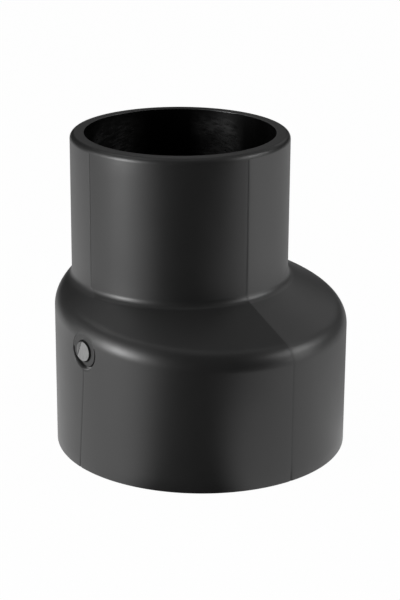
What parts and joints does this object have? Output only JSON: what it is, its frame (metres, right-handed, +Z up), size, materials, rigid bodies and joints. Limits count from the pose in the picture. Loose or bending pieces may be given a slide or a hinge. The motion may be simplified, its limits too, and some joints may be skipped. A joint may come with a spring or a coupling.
{
  "type": "eccentric pipe reducer",
  "caption": "Short moulded plastic pipe reducer: a wide plain spigot, a sloping rounded shoulder and a narrow plain spigot set off to one side, almost flush with the wide one.",
  "frame": {"origin": "centre of the wide end's face, on the wide spigot's axis", "axes": "+Z up along both spigots from the wide end to the narrow end, +X from the wide spigot's axis to the narrow spigot's axis, +Y towards the side with the gate mark"},
  "size_m": [0.075, 0.0754, 0.08],
  "materials": {
    "black_plastic": "satin"
  },
  "bodies": {
    "root": {"reducer": "black_plastic"}
  },
  "joints": []
}
